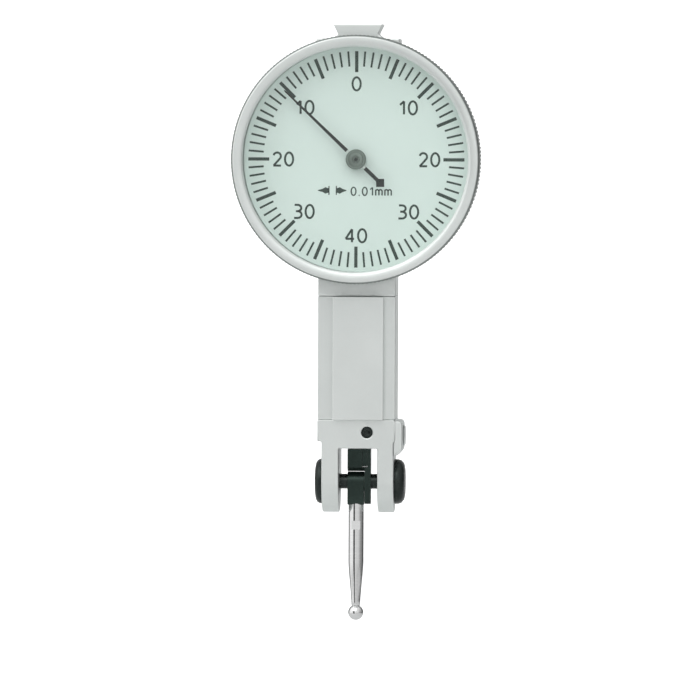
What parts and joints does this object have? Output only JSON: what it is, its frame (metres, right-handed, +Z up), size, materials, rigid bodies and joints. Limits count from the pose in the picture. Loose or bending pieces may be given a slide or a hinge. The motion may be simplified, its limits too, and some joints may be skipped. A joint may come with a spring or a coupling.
{
  "type": "lever dial test indicator",
  "caption": "Lever dial test indicator: round turning dial with pointer, dovetailed stem and a ball-ended swivelling stylus in a fork.",
  "frame": {"origin": "middle of the upper face of the top dovetail, where a holder grips the indicator", "axes": "+Z up along the stem, away from the stylus; the dial faces -Y; +X is to the viewer's right, across the fork"},
  "size_m": [0.032, 0.0156, 0.0771],
  "materials": {
    "satin_chrome": "satin hard chrome on a machined body, fine blasted grain, roughness 0.4",
    "polished_chrome": "polished, roughness 0.1",
    "screw_steel": "turned bright steel, roughness 0.3",
    "black_oxide": "black oxide on steel, satin, roughness 0.4",
    "black_paint": "matt black lacquer",
    "hub_grey": "turned grey metal with rings, roughness 0.35",
    "brass": "fine cut, roughness 0.3",
    "bearing_bronze": "sintered bronze, roughness 0.4",
    "spring_bronze": "rolled strip, roughness 0.3",
    "ruby": "polished synthetic ruby",
    "dial_enamel": "pale green matt lacquer with printed graduations",
    "crystal_glass": "clear, polished",
    "carbide": "polished hard metal"
  },
  "bodies": {
    "body": {"head_case": "satin_chrome", "back_cover": "satin_chrome", "back_cover_screw_1": "screw_steel", "back_cover_screw_2": "screw_steel", "back_cover_screw_3": "screw_steel", "back_cover_screw_4": "screw_steel", "movement_plate": "brass", "plate_screw_1": "screw_steel", "plate_screw_2": "screw_steel", "plate_screw_3": "screw_steel", "bridge_left": "brass", "bridge_right": "brass", "bridge_screw_left": "screw_steel", "bridge_screw_right": "screw_steel", "jewel_centre": "ruby", "jewel_cross_left": "ruby", "jewel_cross_right": "ruby", "retaining_ring": "screw_steel", "hairspring": "spring_bronze", "hairspring_stud": "brass", "return_spring": "spring_bronze", "stem_body": "satin_chrome", "stem_cover": "satin_chrome", "stem_cover_screw_1": "screw_steel", "stem_cover_screw_2": "screw_steel", "stem_cover_screw_3": "screw_steel", "stem_cover_screw_4": "screw_steel", "fork_block": "satin_chrome", "pivot_bearing_left": "bearing_bronze", "pivot_bearing_right": "bearing_bronze", "pivot_cap_left": "black_oxide", "pivot_cap_right": "black_oxide", "sector_bearing_plug": "satin_chrome", "sector_bearing_bush": "bearing_bronze", "set_screw": "black_oxide"},
    "bezel": {"bezel": "satin_chrome", "dial_plate": "dial_enamel", "crystal": "crystal_glass"},
    "pointer": {"pointer": "black_paint", "pointer_bush": "hub_grey", "centre_arbor": "screw_steel", "centre_pinion": "brass", "hairspring_collet": "brass"},
    "crown_shaft": {"crown_wheel": "brass", "crown_hub": "screw_steel", "cross_shaft": "screw_steel", "sector_pinion": "brass"},
    "sector": {"sector_lever": "black_oxide", "sector_arbor": "screw_steel"},
    "lever": {"swing_lever": "black_oxide", "drive_pin": "screw_steel", "pivot_axle": "black_oxide"},
    "stylus": {"stylus_holder": "black_oxide", "friction_washer": "black_oxide", "stylus_shank": "polished_chrome", "contact_ball": "carbide"}
  },
  "joints": [
    {"name": "bezel_turn", "type": "hinge", "parent": "body", "child": "bezel", "pos_m": [0, 0, -0.0174], "axis": [0, 1, 0], "continuous": true},
    {"name": "stylus_measure", "type": "hinge", "parent": "body", "child": "lever", "pos_m": [0, 0, -0.0591], "axis": [1, 0, 0], "range_deg": [-3, 3], "stiffness_Nm_per_rad": 0.1},
    {"name": "stylus_set", "type": "hinge", "parent": "lever", "child": "stylus", "pos_m": [0, 0, -0.0591], "axis": [1, 0, 0], "range_deg": [-100, 100]},
    {"name": "sector_swing", "type": "hinge", "parent": "body", "child": "sector", "pos_m": [0.001, 0, -0.0531], "axis": [1, 0, 0], "range_deg": [-2.45, 2.45], "deforming": ["return_spring"]},
    {"name": "cross_shaft_turn", "type": "hinge", "parent": "body", "child": "crown_shaft", "pos_m": [0, 0, -0.0174], "axis": [1, 0, 0], "range_deg": [-101, 101]},
    {"name": "pointer_turn", "type": "hinge", "parent": "body", "child": "pointer", "pos_m": [0, 0, -0.0174], "axis": [0, 1, 0], "range_deg": [-405, 405], "deforming": ["hairspring"]}
  ],
  "couplings": [
    {"joint": "sector_swing", "follows": "stylus_measure", "ratio": -0.8},
    {"joint": "cross_shaft_turn", "follows": "stylus_measure", "ratio": 33.333},
    {"joint": "pointer_turn", "follows": "stylus_measure", "ratio": -133.33}
  ]
}
